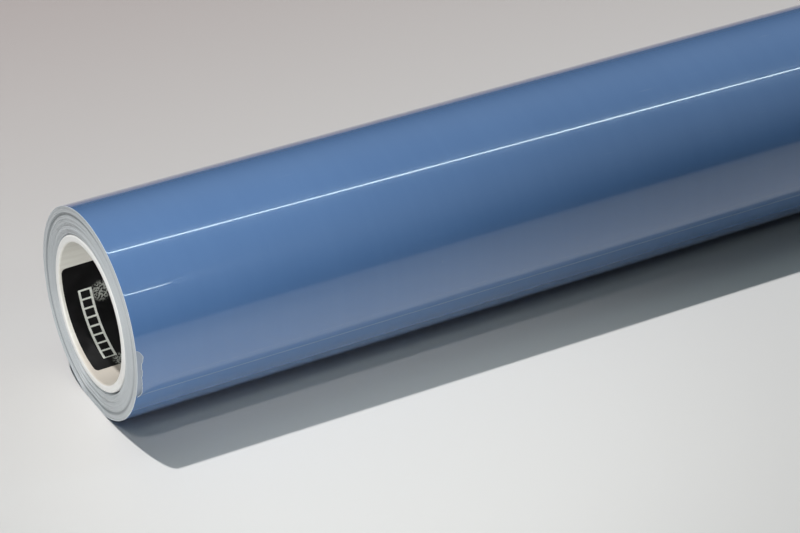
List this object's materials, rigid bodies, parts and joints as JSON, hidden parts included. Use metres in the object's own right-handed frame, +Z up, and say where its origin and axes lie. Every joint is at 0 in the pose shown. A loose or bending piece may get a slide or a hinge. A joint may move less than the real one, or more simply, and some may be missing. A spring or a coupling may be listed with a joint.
{
  "type": "backdrop roll",
  "caption": "Roll of glossy blue backdrop film on a thick open core, with a loose outer end that lifts and straightens.",
  "frame": {"origin": "on the surface the roll rests on, midway along it, straight below its axis", "axes": "+X along the roll from the labelled end to the plain end, +Z up, -Y the side where the sheet's free edge is"},
  "size_m": [1.524, 0.1152, 0.1137],
  "materials": {
    "core_plastic": "smooth off-white, satin",
    "label_film": "black satin sticker",
    "adhesive_tape": "double-sided tape, matte",
    "film_edges": "cut edges of the wound layers, satin",
    "glossy_film": "high gloss coated blue sheet"
  },
  "bodies": {
    "roll": {"core_tube": "core_plastic", "core_label": "label_film", "start_tape": "adhesive_tape", "winding": "film_edges", "outer_turn": "glossy_film"},
    "tail_1": {"tail_panel_1": "glossy_film"},
    "tail_2": {"tail_panel_2": "glossy_film"},
    "tail_3": {"tail_panel_3": "glossy_film"},
    "tail_4": {"tail_panel_4": "glossy_film"},
    "tail_5": {"tail_panel_5": "glossy_film"},
    "tail_6": {"tail_panel_6": "glossy_film"}
  },
  "joints": [
    {"name": "tail_curl_1", "type": "hinge", "parent": "roll", "child": "tail_1", "pos_m": [0, -0.01921, 0.11031], "axis": [-1, 0, 0], "range_deg": [0, 15], "stiffness_Nm_per_rad": 0.05},
    {"name": "tail_curl_2", "type": "hinge", "parent": "tail_1", "child": "tail_2", "pos_m": [0, -0.0326, 0.10348], "axis": [-1, 0, 0], "range_deg": [0, 15], "stiffness_Nm_per_rad": 0.05},
    {"name": "tail_curl_3", "type": "hinge", "parent": "tail_2", "child": "tail_3", "pos_m": [0, -0.04376, 0.09343], "axis": [-1, 0, 0], "range_deg": [0, 15], "stiffness_Nm_per_rad": 0.05},
    {"name": "tail_curl_4", "type": "hinge", "parent": "tail_3", "child": "tail_4", "pos_m": [0, -0.05194, 0.08083], "axis": [-1, 0, 0], "range_deg": [0, 15], "stiffness_Nm_per_rad": 0.05},
    {"name": "tail_curl_5", "type": "hinge", "parent": "tail_4", "child": "tail_5", "pos_m": [0, -0.05659, 0.06654], "axis": [-1, 0, 0], "range_deg": [0, 15], "stiffness_Nm_per_rad": 0.05},
    {"name": "tail_curl_6", "type": "hinge", "parent": "tail_5", "child": "tail_6", "pos_m": [0, -0.05737, 0.05154], "axis": [-1, 0, 0], "range_deg": [0, 15], "stiffness_Nm_per_rad": 0.05}
  ],
  "couplings": [
    {"joint": "tail_curl_2", "follows": "tail_curl_1", "ratio": 1},
    {"joint": "tail_curl_3", "follows": "tail_curl_1", "ratio": 1},
    {"joint": "tail_curl_4", "follows": "tail_curl_1", "ratio": 1},
    {"joint": "tail_curl_5", "follows": "tail_curl_1", "ratio": 1},
    {"joint": "tail_curl_6", "follows": "tail_curl_1", "ratio": 1}
  ]
}
